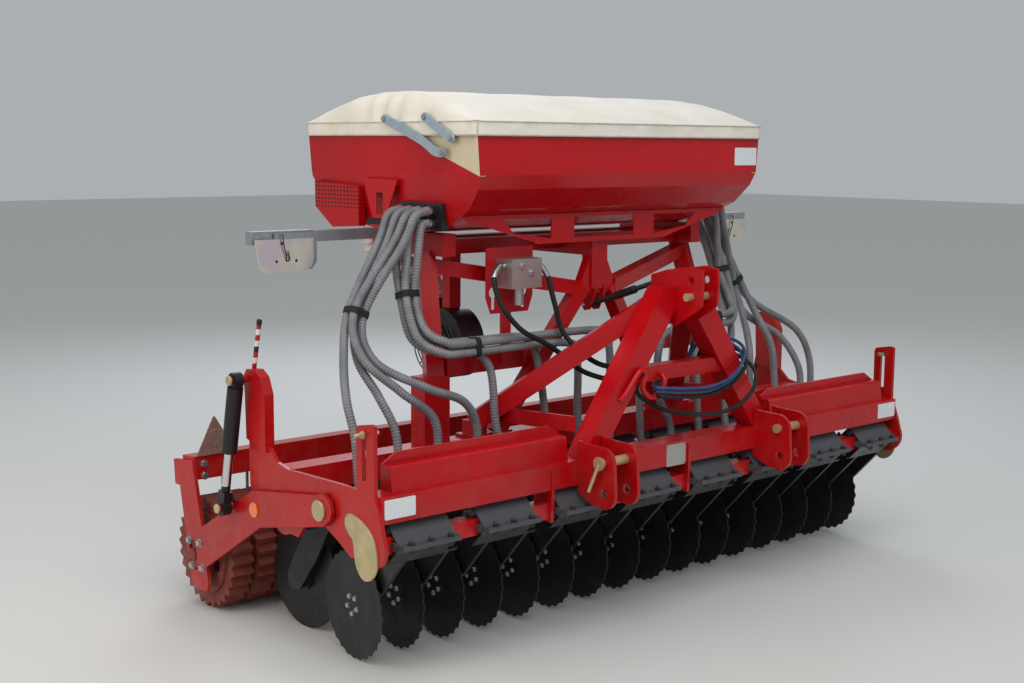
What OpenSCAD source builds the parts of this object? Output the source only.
// Mounted seed drill, 3 m: two rows of discs on torsion clamps, a ring roller behind,
// a tank with an air feed above. X runs across the machine, Y backwards, Z up.
// Inside the modules Y counts from the front face of the front beam.

/* [Frame] */
// Width over the outer faces of the end plates
work_w = 3000; // [2960:5:3060]
// Thickness of an end plate
plate_t = 15; // [10:1:20]
// Depth of the two cross beams, front to back
beam_d = 100; // [80:1:110]
// Height of the two cross beams
beam_h = 95; // [80:1:110]
// Height of the beams' underside over the ground
beam_z = 609; // [600:1:630]
// Side of the square bars that carry the discs
tool_w = 60; // [50:1:64]
// Height of the disc bars' middle over the ground
tool_z = 528; // [520:1:540]
// Place of the front disc bar's middle behind the front beam's face
front_tool_y = 40; // [36:1:46]
// Place of the rear disc bar's middle
rear_tool_y = 600; // [590:1:610]
// Height of the upper box on each wing of the front beam
wing_h = 89; // [70:1:110]
// Half width of the middle of the front beam, between the wings
wing_start = 600; // [590:1:640]

/* [Discs] */
// Distance between two seed rows
row_pitch = 187.5; // [184:0.5:188]
// Radius of a disc
disc_r = 205; // [195:1:210]
// Thickness of a disc
disc_t = 5; // [4:0.5:7]
// Depth of a notch in the rim of a front disc
notch_d = 9; // [4:1:14]
// Angle of a disc to the direction of travel
toe = 4; // [2:0.5:6]
// Distance from a disc bar to the front discs' middle
front_trail = 346; // [330:1:360]
// Distance from a disc bar to the rear discs' middle
rear_trail = 190; // [180:1:200]
// Sideways reach of a front disc arm, clamp to hub
arm_splay = 60; // [56:1:64]
// Sideways reach of a rear disc arm
rear_splay = 30; // [24:1:34]
// Thickness of a disc arm
arm_t = 14; // [8:1:16]
// Length of a clamp along its bar
clamp_l = 250; // [220:1:260]
// Wall of a clamp
clamp_t = 8; // [6:1:10]

/* [Roller] */
// Radius of the roller over its teeth
roller_r = 230; // [220:1:234]
// Number of rings
ring_n = 26; // [22:1:27]
// Teeth round one ring
tooth_n = 28; // [20:1:30]
// Depth of a tooth
tooth_d = 24; // [14:1:36]
// Radius of the roller's tube
drum_r = 170; // [150:1:180]
// Thickness of a roller arm
roller_arm_t = 15; // [10:1:18]
// Gap between a roller arm and the end plate
arm_gap = 7; // [5:1:9]

/* [Headstock] */
// Height of the empty top link hole
top_hole_z = 1358; // [1330:1:1380]
// Diameter of the top link hole
top_hole_d = 32; // [25:0.1:34]
// Clear width between the two ears of the top link
top_gap = 78; // [60:1:90]
// Middle of each pair of lower link ears from the machine's middle
lower_x = 512.5; // [490:0.5:530]
// Clear width between the two ears of a lower link
lower_gap = 105; // [80:1:120]
// Diameter of the lower link holes
lower_hole_d = 37.4; // [28:0.1:40]
// Side of the headstock's front legs
leg_w = 90; // [70:1:95]
// Side of the headstock's rear braces
brace_w = 76; // [60:1:90]

/* [Tank] */
// Half width of the tank at its rim
tank_hw = 811; // [780:1:830]
// Place of the tank's front wall
tank_y = 319; // [310:1:340]
// Depth of the tank, front to back
tank_d = 1146; // [1100:1:1160]
// Height of the tank's rim
tank_top_z = 1916; // [1900:1:1940]
// Height of the tank's floor
tank_low_z = 1530; // [1520:1:1545]
// Thickness of the tank's wall
tank_wall = 4; // [3:1:8]
// Height of the canvas cover over the rim
cover_h = 180; // [120:1:220]

/* [Air and seed] */
// Outside diameter of a seed hose
hose_d = 33; // [28:1:36]
// Outside diameter of the fan housing
fan_d = 300; // [240:1:320]
// Diameter of the air duct
duct_d = 104; // [90:1:120]

/* [Hidden] */
// Numbers of the disc nodes, 01 to 16 in front and 01 to 15 behind
FRONT_N = 16;
REAR_N = 15;
function two(i) = str(i < 9 ? "0" : "", i + 1);
function front_name(i) = str("front_disc_", two(i));
function rear_name(i) = str("rear_disc_", two(i));
$fn = 48;

// Small clearance between pieces that seat on each other
seat = 0.3;

// Colours of the paint and the metals
RED = "#c3141c";
BLACK = "#1d1d1f";
ZINC = "#b5a060";
STEEL = "#b8babd";
CANVAS = "#efe9df";
RUST = "#8e3a30";
GREY = "#6e6a6e";

// Half width to the outer and inner faces of the end plates
half_w = work_w / 2;
half_in = half_w - plate_t;
beam_top = beam_z + beam_h;

// Rear beam stands over the rear disc bar
rear_beam_y = rear_tool_y - beam_d / 2;

// Discs: the front row starts at the left and its arms lie on their right side,
// the rear row is its mirror image without the outermost disc
front_x0 = -row_pitch * 7.5 + row_shift();
function row_shift() = 66.75;
front_y = front_tool_y + front_trail;
rear_y = rear_tool_y + rear_trail;
function front_x(i) = front_x0 + row_pitch * i;
function rear_x(i) = -front_x0 - row_pitch * (REAR_N - 1 - i);

// Clamps: eight on each bar, each with two arms
clamp_pitch = 2 * row_pitch;
function clamp_x(i) = clamp_pitch * (i - 3.5);
shell_r = tool_w * 0.707 + 12;
hub_off = 44;
cord_r = ((shell_r - clamp_t) * 1.41421 - tool_w / 2 - seat) * 0.41421 + 0.9;
carrier_t = 12;
carrier_l = 190;
hangers = [-710, 40, 790];
boot_x = 66;
strap_t = 8;
hub_r = 50;

// Roller arm: pivot, axle and rod pin as they lie when the roller runs 76 mm higher
pivot = [324, 602];
axle_run = [1288, 311];
rod_pin_run = [941, 548];
arm_len = norm(axle_run - pivot);
axle_ang = atan2(axle_run[1] - pivot[1], axle_run[0] - pivot[0]);
arm_rest = asin((roller_r - pivot[1]) / arm_len) - axle_ang;
function at_rest(p) = pivot + norm(p - pivot) * [
  cos(atan2(p[1] - pivot[1], p[0] - pivot[0]) + arm_rest),
  sin(atan2(p[1] - pivot[1], p[0] - pivot[0]) + arm_rest)];
axle = at_rest(axle_run);
rod_pin = at_rest(rod_pin_run);
barrel_pin = [823, 1005];
arm_in = half_w + arm_gap;
arm_out = arm_in + roller_arm_t;
cyl_x = half_w + 58;
pin_d = 25;

// The part's origin is under the middle of its length and width
ear_hole = [-140, 600];
ear_pin = [-132, 716];
ear_d = 116;
front_y_max = ear_hole[0] - ear_d / 2;
mid_y = (front_y_max + axle[0] + roller_r) / 2;

// Plate of thickness t in a plane across X, outline given as [Y, Z] points
module plate_x(x, t, pts) translate([x, 0, 0]) rotate([90, 0, 90]) linear_extrude(t) polygon(pts);

// Plate of thickness t in a plane across Y, outline given as [X, Z] points
module plate_y(y, t, pts) translate([0, y + t, 0]) rotate([90, 0, 0]) linear_extrude(t) polygon(pts);

// Round bar or bore of diameter d and length l along X
module rod_x(x, y, z, d, l) translate([x, y, z]) rotate([0, 90, 0]) cylinder(d = d, h = l);

// Round bar along Y
module rod_y(x, y, z, d, l) translate([x, y, z]) rotate([-90, 0, 0]) cylinder(d = d, h = l);

// Straight bar of section w by h from point a to point b
module bar(a, b, w, h) {
  d = b - a;
  l = norm(d);
  translate(a) rotate([0, acos(d[2] / l), atan2(d[1], d[0])])
    translate([-h / 2, -w / 2, 0]) cube([h, w, l]);
}

// Round bar from point a to point b
module round_bar(a, b, d) {
  v = b - a;
  l = norm(v);
  translate(a) rotate([0, acos(v[2] / l), atan2(v[1], v[0])]) cylinder(d = d, h = l);
}

// Turns what is drawn in the working position down to the parked one
module arm_pose() translate([0, pivot[0], pivot[1]]) rotate([arm_rest, 0, 0])
  translate([0, -pivot[0], -pivot[1]]) children();

// Both sides of the machine
module both() {
  children();
  mirror([1, 0, 0]) children();
}

module centred() translate([0, -mid_y, 0]) children();

// FRAME

// Wing box: lower ledge, leaning front, bright step and rear lip with cut corners
module wing() {
  ledge = 32;
  lean = 12;
  step_z = beam_top + wing_h;
  lip = 38;
  plate_x(wing_start, half_in - wing_start - 66, [[ledge, beam_top], [ledge + lean, step_z - 6],
    [ledge + lean + 8, step_z], [beam_d, step_z], [beam_d, beam_top]]);
  plate_y(beam_d - 10, 10, [[wing_start, step_z], [wing_start, step_z + 12],
    [wing_start + 50, step_z + lip], [half_in - 130, step_z + lip], [half_in - 66, step_z]]);
}

module front_beam() centred() color(RED) {
  hanger_t = 15;
  difference() {
    union() {
      translate([-half_in, 0, beam_z]) cube([2 * half_in, beam_d, beam_h]);
      both() wing();
      for (x = hangers) plate_x(x - hanger_t / 2, hanger_t, [[-6, beam_top - 20],
        [-6, beam_z - 20], [front_tool_y - tool_w / 2 - 12, tool_z - tool_w / 2 - 12],
        [front_tool_y + tool_w / 2 + 12, tool_z - tool_w / 2 - 12], [beam_d, beam_z], [0, beam_z],
        [0, beam_top - 20]]);
    }
    translate([-half_in, front_tool_y - tool_w / 2 - seat, tool_z - tool_w / 2 - seat])
      cube([2 * half_in, tool_w + 2 * seat, tool_w + 2 * seat]);
  }
}

module rear_beam() centred() color(RED) {
  hanger_t = 15;
  difference() {
    union() {
      translate([-half_in, rear_beam_y, beam_z]) cube([2 * half_in, beam_d, beam_h]);
      for (x = hangers) plate_x(-x - hanger_t / 2, hanger_t, [[rear_beam_y, beam_z],
        [rear_tool_y - tool_w / 2 - 12, tool_z - tool_w / 2 - 12],
        [rear_tool_y + tool_w / 2 + 12, tool_z - tool_w / 2 - 12], [rear_beam_y + beam_d, beam_z]]);
    }
    translate([-half_in, rear_tool_y - tool_w / 2 - seat, tool_z - tool_w / 2 - seat])
      cube([2 * half_in, tool_w + 2 * seat, tool_w + 2 * seat]);
  }
}

module front_tool_bar() centred() color(RED)
  translate([-half_in, front_tool_y - tool_w / 2, tool_z - tool_w / 2])
    cube([2 * half_in, tool_w, tool_w]);

module rear_tool_bar() centred() color(RED)
  translate([-half_in, rear_tool_y - tool_w / 2, tool_z - tool_w / 2])
    cube([2 * half_in, tool_w, tool_w]);

// End plate with its two bosses, the slotted post in front and the tower for the cylinder
module end_plate() {
  boss_r = 76;
  post_top = 945;
  tower_t = 40;
  tower_out = 12;
  difference() {
    union() {
      plate_x(half_in, plate_t, [[-34, 540], [-13, 611], [23, 705], [23, post_top], [45, post_top + 4],
        [120, post_top - 10], [128, post_top - 24], [126, 712], [227, 712], [563, 702], [640, 716],
        [690, 760], [835, 790], [835, 600], [790, 530], [700, 470], [500, 462], [470, 500],
        [420, 540], [335, 545], [239, 504], [161, 462]]);
      rod_x(half_in, front_tool_y, tool_z, 2 * boss_r, plate_t);
      rod_x(half_in, rear_tool_y, tool_z, 2 * boss_r, plate_t);
      plate_x(half_w + tower_out - tower_t, tower_t, [[700, 742], [700, 960], [728, 1022],
        [770, 1046], [826, 1042], [850, 1012], [842, 960], [835, 776]]);
    }
    translate([half_in - 1, 69, 750]) cube([plate_t + 2, 24, 160]);
    rod_x(half_in - 1, 81, 910, 24, plate_t + 2);
  }
  // Pin that carries the roller arm, with its head outside
  rod_x(half_w, pivot[0], pivot[1], 50, arm_gap + roller_arm_t + 1);
  rod_x(arm_out + 1, pivot[0], pivot[1], 74, 7);
  // Pin of the cylinder
  rod_x(half_w + tower_out, barrel_pin[0], barrel_pin[1], pin_d, cyl_x + 34 - half_w - tower_out);
}

// Depth rod beside the left tower
module end_plates() centred() color(RED) {
  both() end_plate();
  round_bar([-half_w + 20, 826, 1030], [-half_w + 20, 779, 1224], 14);
}

// HEADSTOCK

module front_leg() {
  foot_x = 500;
  head_x = 78;
  head_z = 1330;
  y0 = 5;
  plate_y(y0, leg_w, [[foot_x - 52, beam_top], [foot_x + 52, beam_top],
    [head_x + 40, head_z], [head_x - 40, head_z], [33, 1260]]);
}

module rear_brace() {
  foot = [600, rear_beam_y + 50, beam_top];
  difference() {
    bar([60, 60, 1290], [foot[0], foot[1], beam_top + 56], brace_w, brace_w);
    translate([0, 0, beam_top - 200]) cube([2000, 2000, 200]);
  }
  translate([foot[0] - 55, foot[1] - 45, beam_top]) cube([110, 90, 12]);
  translate([foot[0] - 44, foot[1] - 38, beam_top]) cube([70, 76, 66]);
}

module headstock() centred() color(RED) {
  ear_t = 12;
  difference() {
    union() {
      both() {
        front_leg();
        rear_brace();
        plate_x(top_gap / 2, ear_t, [[11, 1171], [40, 1190], [142, 1330], [142, 1368], [60, 1392],
          [-60, 1412], [-128, 1403], [-132, 1340], [-128, 1260], [-100, 1236]]);
        plate_x(504, 12, [[95, 790], [95, 850], [560, 820], [600, 790], [560, 760]]);
      }
      translate([-top_gap / 2, 40, 1180]) cube([top_gap, 80, 130]);
      translate([-320, 20, 960]) cube([640, 60, 60]);
    }
    rod_x(-100, -72, top_hole_z, top_hole_d, 200);
    rod_x(-100, -74, top_hole_z - 64, top_hole_d, 200);
  }
}

module hitch_ear(x) {
  ear_t = 15;
  difference() {
    union() {
      plate_x(x, ear_t, [[0, 578], [0, 780], [-30, 776], [-132, 774], [-190, 716], [-198, 600],
        [-140, 542], [-90, 546]]);
      rod_x(x, ear_pin[0], ear_pin[1], ear_d, ear_t);
      rod_x(x, ear_hole[0], ear_hole[1], ear_d, ear_t);
    }
    rod_x(x - 1, ear_pin[0], ear_pin[1], lower_hole_d, ear_t + 2);
    rod_x(x - 1, ear_hole[0], ear_hole[1], lower_hole_d, ear_t + 2);
  }
}

module hitch_ears() centred() color(RED) both() {
  hitch_ear(lower_x - lower_gap / 2 - 15);
  hitch_ear(lower_x + lower_gap / 2);
}

// Lower link pins with their bent handles, and the pin in the top link's lower hole
module hitch_pins() centred() color(ZINC) {
  both() {
    rod_x(lower_x - lower_gap / 2 - 30, -132, 716, lower_hole_d - 1, lower_gap + 60);
    rod_x(lower_x + lower_gap / 2 + 30, -132, 716, 52, 8);
    round_bar([lower_x + lower_gap / 2 + 34, -132, 716], [lower_x + lower_gap / 2 + 46, -92, 606], 14);
  }
  rod_x(-80, -74, top_hole_z - 64, top_hole_d - 1, 160);
}

// DISC CARRIERS

// Clamp: two shells set on edge round the bar, four rubber cords and bolted lips
module clamp(x, y) {
  corner = shell_r * 1.41421;
  lip = 22;
  translate([x, y, tool_z]) {
    difference() {
      rotate([45, 0, 0]) translate([-clamp_l / 2, -shell_r, -shell_r])
        cube([clamp_l, 2 * shell_r, 2 * shell_r]);
      rotate([45, 0, 0]) translate([-clamp_l / 2 - 1, clamp_t - shell_r, clamp_t - shell_r])
        cube([clamp_l + 2, 2 * (shell_r - clamp_t), 2 * (shell_r - clamp_t)]);
    }
    rotate([45, 0, 0]) translate([-clamp_l / 2 + 4, 6 - shell_r, -shell_r - carrier_t])
      cube([clamp_l / 2 + min(carrier_l, half_in - 8 - x) - 4, 2 * shell_r - 12, carrier_t + 3]);
    for (s = [-1, 1]) translate([-clamp_l / 2, s > 0 ? corner - 8 : -corner - lip, -9])
      cube([clamp_l, lip + 8, 18]);
    for (a = [0, 90, 180, 270]) rotate([a, 0, 0])
      rod_x(-clamp_l / 2 - 6, 0, tool_w / 2 + seat + cord_r, 2 * cord_r, clamp_l + 12);
    for (bx = [-85, 0, 85], s = [-1, 1]) translate([bx, s * (corner + lip / 2), -24])
      cylinder(d = 14, h = 52);
  }
}

// Arm plate from a clamp to a hub on the right of its disc
module coulter_arm(x_top, y_top, x_hub, y_hub, toe_a) {
  drop = tool_z - disc_r;
  run = y_hub - y_top;
  reach = norm([x_hub - x_top, run]);
  l = norm([reach, drop]);
  translate([x_top, y_top, tool_z]) rotate([0, 0, -atan2(x_hub - x_top, run)])
    rotate([-atan2(drop, reach), 0, 0])
      plate_x(-arm_t / 2, arm_t, [[shell_r - 2, -50], [shell_r - 2, 46], [l * 0.35, 54],
        [l * 0.8, 50], [l + 6, 46], [l + 40, 22], [l + 46, -10], [l + 20, -42], [l * 0.6, -56]]);
  translate([x_hub, y_hub, disc_r]) rotate([0, 0, toe_a])
    rod_x(disc_t / 2 + 14 + seat - hub_off, 0, 0, 84, hub_off - disc_t / 2 - 14 - seat);
}

module front_coulter_arms() centred() color(BLACK) for (i = [0:7]) {
  clamp(clamp_x(i), front_tool_y);
  for (k = [0, 1]) let (hub = front_x(2 * i + k) + hub_off) {
    coulter_arm(min(hub - arm_splay, half_in - 35), front_tool_y, hub, front_y, -toe);
    translate([hub, front_y, disc_r]) rotate([0, 0, -toe])
      rod_x(-5, 0, 0, 60, boot_x - strap_t / 2 - hub_off - seat + 5);
  }
}

module rear_coulter_arms() centred() color(BLACK) mirror([1, 0, 0]) for (i = [0:7]) {
  clamp(clamp_x(i), rear_tool_y);
  for (k = [0, 1]) if (2 * i + k < REAR_N) let (hub = front_x(2 * i + k) + hub_off)
    coulter_arm(hub - rear_splay, rear_tool_y, hub, rear_y, -toe);
}

// Disc on its hub flange; bolts show on the open side
module disc_shape(notched) {
  n = 28;
  bolts = 5;
  flange_t = 14;
  rotate([0, 90, 0]) {
    translate([0, 0, -disc_t / 2])
      if (notched) linear_extrude(disc_t) polygon([for (i = [0:2 * n - 1])
        let (a = 360 / (2 * n) * i, r = i % 2 ? disc_r - notch_d : disc_r) [r * cos(a), r * sin(a)]]);
      else cylinder(r = disc_r, h = disc_t, $fn = 96);
    cylinder(r = hub_r, h = disc_t / 2 + flange_t);
    for (i = [0:bolts - 1]) rotate([0, 0, 360 / bolts * i]) translate([34, 0, -disc_t / 2 - 7])
      cylinder(d = 14, h = 8, $fn = 6);
  }
}

module front_disc(i) centred() color(BLACK) translate([front_x(i), front_y, disc_r])
  rotate([0, 0, -toe]) disc_shape(true);

module rear_disc(i) centred() color(BLACK) translate([rear_x(i), rear_y, disc_r])
  rotate([0, 0, toe]) mirror([1, 0, 0]) disc_shape(false);

// Seed boots on the inner side of the front discs, each on a strap from its hub
boot_top = [158, 190];
boot_low = [116, -138];
module seed_boots() centred() color(BLACK) for (i = [0:FRONT_N - 1])
  translate([front_x(i), front_y, disc_r]) rotate([0, 0, -toe]) {
    round_bar([boot_x, boot_top[0], boot_top[1]], [boot_x, boot_low[0], boot_low[1]], 30);
    translate([boot_x, boot_top[0], boot_top[1] - 20]) cylinder(d = 42, h = 44);
    rod_x(boot_x - strap_t / 2, 0, 0, 68, strap_t);
    plate_x(boot_x - strap_t / 2, strap_t, [[-8, 33], [8, -33], [128, 0], [146, 70]]);
  }

// TANK

// Side outline of the tank as [Y, Z], moved inwards by t
function tank_side(t) = let (y0 = tank_y, y1 = tank_y + tank_d, top = tank_top_z, low = tank_low_z)
  [[y0 + t, top], [y0 + t, top - 150], [y0 + 22 + t, top - 205], [y0 + 97 + t * 0.6, top - 285],
   [y0 + 260, low + 24 + t], [y0 + 420, low + t], [y1 - 430, low + t], [y1 - 270, low + 24 + t],
   [y1 - 97 - t * 0.6, top - 285], [y1 - 22 - t, top - 215], [y1 - t, top - 174], [y1 - t, top]];

// End outline of the tank as [X, Z]
function tank_end(t) = let (w = tank_hw - t, low = tank_low_z)
  [[-w, tank_top_z], [-w + 12, tank_top_z - 150], [-w + 60, low - 10 + t], [w - 60, low - 10 + t],
   [w - 12, tank_top_z - 150], [w, tank_top_z]];

module tank_body(t, up) intersection() {
  plate_x(-tank_hw - 10, 2 * tank_hw + 20, [for (p = tank_side(t)) p[1] == tank_top_z ? p + [0, up] : p]);
  plate_y(tank_y - 10, tank_d + 20, [for (p = tank_end(t)) p[1] == tank_top_z ? p + [0, up] : p]);
}

module hopper() centred() color(RED) difference() {
  tank_body(0, 0);
  tank_body(tank_wall, 1);
}

// Canvas cover: a closed dome with a short skirt outside the rim
module hopper_cover() centred() color(CANVAS) {
  o = 14;
  y0 = tank_y - o;
  y1 = tank_y + tank_d + o;
  top = tank_top_z + cover_h;
  difference() {
    intersection() {
      plate_x(-tank_hw - o, 2 * (tank_hw + o), [[y0, tank_top_z - 46], [y0, tank_top_z + 40],
        [y0 + 60, top - 60], [y0 + 230, top - 14], [y0 + 460, top], [y1 - 460, top],
        [y1 - 230, top - 14], [y1 - 60, top - 60], [y1, tank_top_z + 40], [y1, tank_top_z - 46]]);
      plate_y(y0, y1 - y0, [[-tank_hw - o, tank_top_z - 46], [-tank_hw - o, tank_top_z + 44],
        [-tank_hw + 60, top - 40], [-tank_hw + 260, top - 8], [0, top], [tank_hw - 260, top - 8],
        [tank_hw - 60, top - 40], [tank_hw + o, tank_top_z + 44], [tank_hw + o, tank_top_z - 46]]);
    }
    translate([-tank_hw - seat, tank_y - seat, tank_top_z - 100])
      cube([2 * tank_hw + 2 * seat, tank_d + 2 * seat, 100 + seat]);
    intersection() {
      plate_x(-tank_hw, 2 * tank_hw, [[y0 + 20, tank_top_z], [y0 + 20, tank_top_z + 36],
        [y0 + 70, top - 66], [y0 + 235, top - 20], [y0 + 460, top - 6], [y1 - 460, top - 6],
        [y1 - 235, top - 20], [y1 - 70, top - 66], [y1 - 20, tank_top_z + 36], [y1 - 20, tank_top_z]]);
      plate_y(y0, y1 - y0, [[-tank_hw + 6, tank_top_z], [-tank_hw + 6, tank_top_z + 40],
        [-tank_hw + 66, top - 46], [-tank_hw + 262, top - 14], [0, top - 6], [tank_hw - 262, top - 14],
        [tank_hw - 66, top - 46], [tank_hw - 6, tank_top_z + 40], [tank_hw - 6, tank_top_z]]);
    }
  }
}

// Sloping tray under the front of the tank with three windows
module hopper_tray() centred() color(RED) {
  t = 6;
  difference() {
    plate_y(466, t, [[-760, 1604.2], [-740, 1586], [-360, 1484], [360, 1484], [740, 1586], [760, 1604.2]]);
    for (s = [-1, 1]) plate_y(460, 20, [[s * 300, 1504], [s * 300, 1588], [s * 560, 1588], [s * 504, 1532]]);
    plate_y(460, 20, [[-172, 1504], [176, 1504], [176, 1588], [-172, 1588]]);
  }
}

// Stand: two rails under the tank, inclined legs, posts and the middle mast
module hopper_stand() centred() color(RED) {
  rail_z = 1440;
  post_y = rear_beam_y + 50;
  cross_y = 700;
  floor_z = tank_low_z - seat;
  both() {
    translate([755, post_y - 45, beam_top]) cube([125, 90, 271]);
    bar([800, post_y, 955], [745, cross_y + 30, rail_z + 10], 70, 70);
    translate([690, post_y, rail_z]) cube([60, 460, floor_z - rail_z]);
    bar([90, 520, 1285], [745, cross_y + 20, 1400], 60, 60);
    difference() {
      bar([80, 520, 1290], [480, post_y, beam_top], 60, 60);
      translate([300, 400, beam_top - 100]) cube([400, 400, 100]);
    }
    translate([425, post_y - 45, beam_top]) cube([110, 90, 12]);
    translate([745, 885, 1470]) cube([85, 85, 1501 - 1470 - seat]);
  }
  translate([-760, post_y - 35, 970]) cube([480, 70, 70]);
  translate([280, post_y - 35, 970]) cube([480, 70, 70]);
  translate([-45, 490, 1280]) cube([90, 60, 200]);
  plate_y(500, 40, [[-45, 1420], [45, 1420], [120, 1262], [-120, 1262]]);
  translate([-40, 500, 1420]) cube([80, 440, 60]);
  for (y = [cross_y, 900]) translate([-700, y, rail_z]) cube([1400, 60, 60]);
  translate([-480, 905, 1040 + fan_d / 2 + seat]) cube([60, 50, rail_z - 1040 - fan_d / 2]);
}

// Outlet blocks on the tank's ends, four hoses to a row
outlet_y = [602, 661, 720, 779];
outlet_z = [1574, 1622];
function end_x(z) = tank_hw - 12 - 48 * (tank_top_z - 150 - z) / (tank_top_z - 140 - tank_low_z);
module metering_heads() centred() color(BLACK) both() {
  face = tank_hw - 18;
  plate_end_y = tank_y + 240;
  translate([0, plate_end_y, 0]) rotate([90, 0, 0]) mirror([0, 0, 1])
    linear_extrude(270)
      polygon([[end_x(1548) + 1, 1548], [face, 1548], [face, 1652], [end_x(1652) + 1, 1652]]);
  for (y = outlet_y, z = outlet_z) rod_x(face - 1, y, z, hose_d + 7, 26);
}

module fan() centred() color(BLACK) {
  translate([-510, 930, 1040]) rotate([0, 90, 0]) cylinder(d = fan_d, h = 120);
  translate([-540, 930, 1040]) rotate([0, 90, 0]) cylinder(d = 150, h = 30);
  translate([-500, 1010, 1040]) cube([100, 70, 160]);
}

module air_duct() centred() color(STEEL)
  hose([[-450, 1045, 1200.3], [-450, 1045, 1260], [-520, 1075, 1340], [-640, 1130, 1400], [-690, 1150, 1460],
    [-690, 1150, 1526]], duct_d, 12);

// Mouth of a boot, and the way of each seed hose from its outlet to where it comes down behind the beam
function boot_mouth(i) = let (x = boot_x, y = boot_top[0])
  [front_x(i) + x * cos(toe) + y * sin(toe), front_y - x * sin(toe) + y * cos(toe)];
HOSE_WAY = [
  [[-892, 779, 1600], [-945, 766, 1501], [-1125, 712, 1249], [-1200, 640, 1090], [-1258, 540, 940],
    [-1263, 478, 800]],
  [[-892, 720, 1600], [-943, 713, 1499], [-1088, 707, 1224], [-1140, 640, 1070], [-1110, 540, 930],
    [-1078, 478, 800]],
  [[-892, 661, 1600], [-945, 667, 1501], [-1125, 673, 1249], [-1150, 590, 1080], [-1040, 500, 950],
    [-905, 462, 830]],
  [[-892, 602, 1600], [-937, 616, 1499], [-1088, 669, 1224], [-1099, 580, 1060], [-950, 452, 960],
    [-780, 440, 890], [-706, 446, 780]],
  [[-863, 779, 1548], [-906, 709, 1430], [-935, 640, 1300], [-923, 585, 1137], [-847, 520, 1079],
    [-720, 507, 1072], [-666, 507, 1068], [-598, 493, 989], [-592, 470, 800], [-575, 466, 720]],
  [[-863, 720, 1548], [-879, 680, 1430], [-896, 641, 1300], [-887, 585, 1165], [-834, 521, 1118],
    [-721, 507, 1112], [-399, 510, 1102], [-336, 512, 1018], [-325, 470, 800]],
  [[-863, 661, 1548], [-906, 632, 1430], [-935, 601, 1300], [-930, 536, 1144], [-852, 474, 1082],
    [-720, 470, 1073], [-212, 470, 1069], [-144, 470, 989], [-138, 470, 800]],
  [[-863, 602, 1548], [-879, 602, 1430], [-895, 600, 1300], [-897, 536, 1176], [-844, 473, 1127],
    [-720, 470, 1110], [-24, 470, 1106], [44, 470, 1026], [50, 470, 800]],
  [[863, 602, 1548], [879, 602, 1430], [896, 600, 1300], [897, 536, 1176], [843, 474, 1126],
    [720, 470, 1111], [311, 470, 1107], [243, 470, 1026], [237, 470, 800]],
  [[863, 661, 1548], [905, 633, 1430], [936, 598, 1302], [927, 535, 1146], [850, 478, 1081],
    [720, 467, 1073], [440, 469, 1068], [360, 472, 1000], [352, 470, 800]],
  [[863, 720, 1548], [879, 680, 1430], [896, 640, 1300], [887, 585, 1165], [834, 521, 1119],
    [761, 507, 1110], [690, 509, 1100], [626, 496, 1025], [612, 470, 800]],
  [[863, 779, 1548], [906, 709, 1430], [935, 643, 1299], [924, 567, 1124], [872, 496, 1000],
    [812, 472, 820]],
  [[892, 602, 1600], [937, 615, 1499], [1088, 668, 1223], [1060, 580, 1060], [1000, 490, 930],
    [988, 474, 800]],
  [[892, 661, 1600], [945, 668, 1501], [1125, 674, 1250], [1160, 590, 1080], [1170, 500, 940],
    [1175, 478, 800]],
  [[892, 720, 1600], [942, 712, 1498], [1087, 706, 1223], [1150, 640, 1070], [1310, 560, 960],
    [1362, 478, 810]],
  [[892, 779, 1600], [946, 767, 1502], [1127, 713, 1250], [1240, 670, 1120], [1480, 600, 980],
    [1552, 560, 830], [1552, 545, 650], [1550, 540, 520]]];
outlet_x = tank_hw - 18 + 25.3;
outlet_run = 24;
function hose_route(i) = let (left = i < 8, k = left ? i : 15 - i, j = (7 - k) % 4, m = boot_mouth(i))
  concat([for (out = [0, outlet_run])
    [(left ? -1 : 1) * (outlet_x + out), outlet_y[j], outlet_z[k < 4 ? 1 : 0]]],
  HOSE_WAY[i], i == 15 ? [] : [[m[0], 462, 650], [m[0], 452, 540], [m[0], m[1] - 36, 486]],
  [[m[0], m[1], 450], [m[0], m[1], 419.3]]);

// Smooth way through the points p, n steps from each point to the next
function spline(p, n) = [for (i = [0:len(p) - 2], j = [0:n - 1])
  let (t = j / n, a = p[max(i - 1, 0)], b = p[i], c = p[i + 1], d = p[min(i + 2, len(p) - 1)])
  0.5 * (2 * b + (c - a) * t + (2 * a - 5 * b + 4 * c - d) * t * t + (3 * b - a - 3 * c + d) * t * t * t),
  p[len(p) - 1]];
function unit(v) = v / norm(v);
function ring_at(p, dir, d, k) = let (u = unit(cross(dir, [0.31, 0.94, 0.13])), v = cross(dir, u))
  [for (j = [0:k - 1]) p + d / 2 * (cos(360 * j / k) * u + sin(360 * j / k) * v)];

// Tube of diameter d with k sides along a route, closed at both ends
module hose(route, d, k = 8, n = 2) {
  q = spline(route, n);
  m = len(q);
  e = len(route) - 1;
  pts = [for (i = [0:m - 1]) each ring_at(q[i], unit(i == 0 ? route[1] - route[0]
    : i == m - 1 ? route[e] - route[e - 1] : q[i + 1] - q[i - 1]), d, k)];
  sides = [for (i = [0:m - 2], j = [0:k - 1]) let (a = i * k + j, b = i * k + (j + 1) % k)
    each [[a, b, b + k], [a, b + k, a + k]]];
  caps = [[for (j = [k - 1:-1:0]) j], [for (j = [0:k - 1]) (m - 1) * k + j]];
  polyhedron(pts, concat(sides, caps), 4);
}

module seed_hoses() centred() color(GREY) for (i = [0:FRONT_N - 1]) hose(hose_route(i), hose_d, 8, 2);

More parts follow.
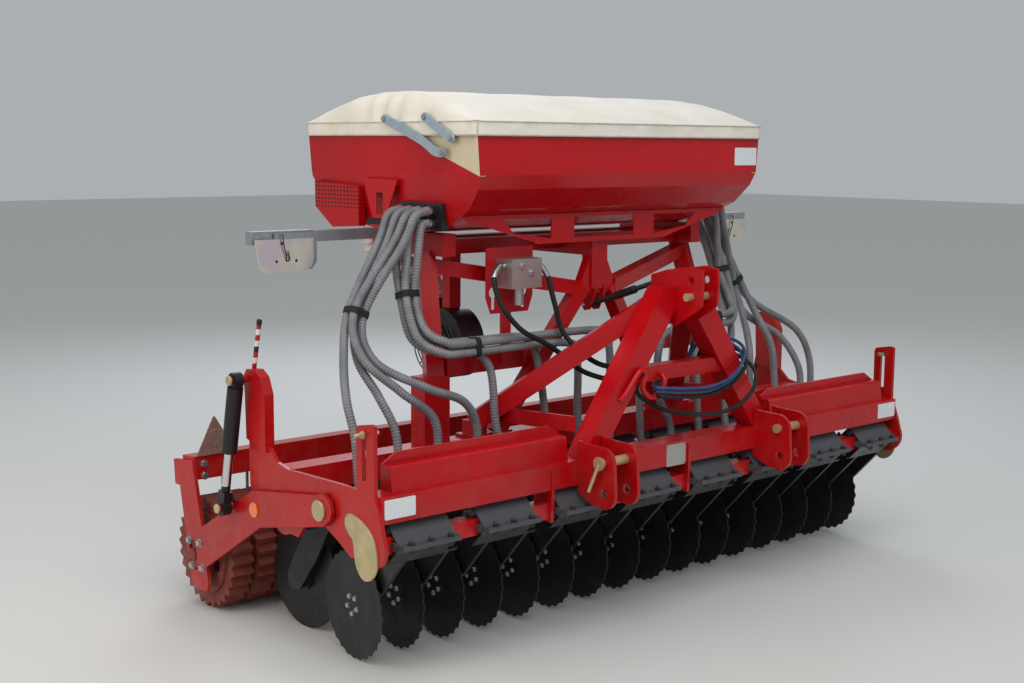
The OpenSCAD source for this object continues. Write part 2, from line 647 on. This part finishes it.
module hydraulic_valve() centred() color(STEEL) {
  plate_t2 = 8;
  y0 = 545;
  difference() {
    plate_y(y0, plate_t2,
      [[-577, 1472], [-577, 1270], [-552, 1205], [-355, 1205], [-330, 1270], [-330, 1472]]);
    for (x = [-541, -382]) {
      rod_y(x, y0 - 1, 1290, 45, plate_t2 + 2);
      translate([x - 10, y0 - 1, 1222]) cube([20, plate_t2 + 2, 68]);
    }
  }
  translate([-527, y0 - 100, 1311]) cube([157, 100, 119]);
  translate([-449, y0 - 50, 1240]) cylinder(d = 40, h = 72);
  translate([-490, y0 + plate_t2 - 0.5, 1040.3]) cube([50, 12, 420]);
  translate([-490, y0 + 7, 1000]) cube([50, 12.7, 60]);
}

module hydraulic_hoses() centred() color(BLACK) {
  hose([[-527.3, 495, 1400], [-556, 495, 1400], [-598, 474, 1350], [-585, 440, 1250], [-500, 420, 1150],
    [-380, 420, 1090], [-300, 410, 1040], [-220, 340, 960], [-110, 220, 930], [0, 130, 985],
    [0, 80.3, 985]], 26);
  hose([[-369.7, 495, 1400], [-344, 495, 1400], [-312, 474, 1350], [-302, 440, 1240], [-262, 420, 1110],
    [-190, 300, 1000], [-90, 170, 985], [-60, 130, 985], [-60, 80.3, 985]], 26);
}

module marker_boards() centred() color(STEEL) both() {
  difference() {
    union() {
      translate([762, 906, 1501]) cube([670, 42, 42]);
      translate([1160, 902, 1497]) cube([272, 50, 50]);
      translate([1300, 896, 1430]) cube([60, 6.3, 90]);
    }
    translate([1170, 880, 1200]) cube([10, 100, 90]);
  }
  plate_y(890, 6, [[1151, 1540], [1341, 1540], [1341, 1425], [1318, 1396], [1174, 1396], [1151, 1425]]);
}

module cover_links() centred() color(STEEL) {
  x = -tank_hw - 22;
  bar([x, 929, 1984], [x, 512, 1858], 8, 34);
  bar([x, 643, 1988], [x, 464, 1904], 8, 34);
  rod_x(x - 8, 512, 1858, 20, 30 - seat);
  rod_x(x - 8, 464, 1904, 20, 16 - seat);
  rod_x(x - 8, 900, 1975, 16, 16);
}

// ROLLER

module roller_arm() difference() {
  plate_x(arm_in, roller_arm_t, [[262, 575], [250, 602], [262, 640], [300, 664], [340, 655],
    [786, 624], [968, 537], [1201, 432], [1247, 698], [1400, 692], [1401, 589], [1362, 586],
    [1310, 200], [1296, 172], [1194, 171], [1176, 200], [1183, 272], [744, 488], [310, 545]]);
  rod_x(arm_in - 1, pivot[0], pivot[1], 51, roller_arm_t + 2);
  translate([arm_in - 1, axle_run[0] - 27, axle_run[1] - 60]) cube([roller_arm_t + 2, 54, 120]);
}

module roller_frame() centred() color(RED) arm_pose() {
  both() {
    roller_arm();
    rod_x(arm_out, rod_pin_run[0], rod_pin_run[1], pin_d, cyl_x + 34 - arm_out);
  }
  translate([-arm_in, 1250, 615]) cube([2 * arm_in, 100, 95]);
}

// Ring roller: toothed rings on a tube
module roller() centred() color(RUST) translate([0, axle[0], axle[1]]) rotate([0, 90, 0]) {
  len = 2 * half_in - 20;
  pitch = len / ring_n;
  ring_w = pitch * 0.8;
  wall = 8;
  difference() {
    cylinder(r = drum_r, h = len, center = true);
    cylinder(r = drum_r - wall, h = len - 24, center = true);
    for (a = [0:72:288]) rotate([0, 0, a]) translate([105, 0, 0])
      cylinder(d = 60, h = len + 2, center = true);
  }
  for (k = [0:ring_n - 1]) translate([0, 0, pitch * (k + 0.5 - ring_n / 2) - ring_w / 2])
    rotate([0, 0, k % 2 * 180 / tooth_n]) linear_extrude(ring_w) difference() {
      polygon([for (i = [0:tooth_n - 1]) let (a = 360 / tooth_n * i, r = roller_r - tooth_d)
        each [roller_r * [cos(a), sin(a)], r * [cos(a + 180 / tooth_n), sin(a + 180 / tooth_n)]]]);
      circle(r = drum_r - 1);
    }
  for (s = [-1, 1]) translate([0, 0, s * (len / 2 + arm_out - 2) / 2])
    cylinder(d = 50, h = arm_out - 2 - len / 2 + 12, center = true);
}

// CYLINDERS

rod_dir = rod_pin - barrel_pin;
rod_l = norm(rod_dir);
rod_ang = atan2(rod_dir[0], -rod_dir[1]);
module along_cylinder(s) translate([s * cyl_x, barrel_pin[0], barrel_pin[1]])
  rotate([rod_ang, 0, 0]) children();

module cylinder_barrel(s) centred() color(BLACK) along_cylinder(s) difference() {
  union() {
    translate([0, 0, -290]) cylinder(d = 60, h = 262);
    rod_x(-18, 0, 0, 58, 36);
    translate([-18, -24, -34]) cube([36, 48, 34]);
  }
  rod_x(-20, 0, 0, pin_d + 1, 40);
  translate([0, 0, -300]) cylinder(d = 36, h = 240);
}

module cylinder_rod(s) centred() color(STEEL) along_cylinder(s) difference() {
  union() {
    translate([0, 0, -rod_l + 40]) cylinder(d = 35, h = rod_l - 40 - 225);
    rod_x(-18, 0, -rod_l, 62, 36);
    translate([-18, -22, -rod_l + 10]) cube([36, 44, 60]);
  }
  rod_x(-20, 0, -rod_l, pin_d + 6, 40);
}

module cylinder_barrel_left() cylinder_barrel(-1);
module cylinder_barrel_right() cylinder_barrel(1);
module cylinder_rod_left() cylinder_rod(-1);
module cylinder_rod_right() cylinder_rod(1);

front_beam();
rear_beam();
end_plates();
headstock();
hitch_ears();
hitch_pins();
front_tool_bar();
rear_tool_bar();
front_coulter_arms();
rear_coulter_arms();
seed_boots();
hopper();
hopper_cover();
hopper_tray();
hopper_stand();
metering_heads();
fan();
air_duct();
seed_hoses();
hydraulic_valve();
hydraulic_hoses();
marker_boards();
cover_links();
roller_frame();
roller();
cylinder_barrel_left();
cylinder_barrel_right();
cylinder_rod_left();
cylinder_rod_right();
for (i = [0:FRONT_N - 1]) front_disc(i);
for (i = [0:REAR_N - 1]) rear_disc(i);
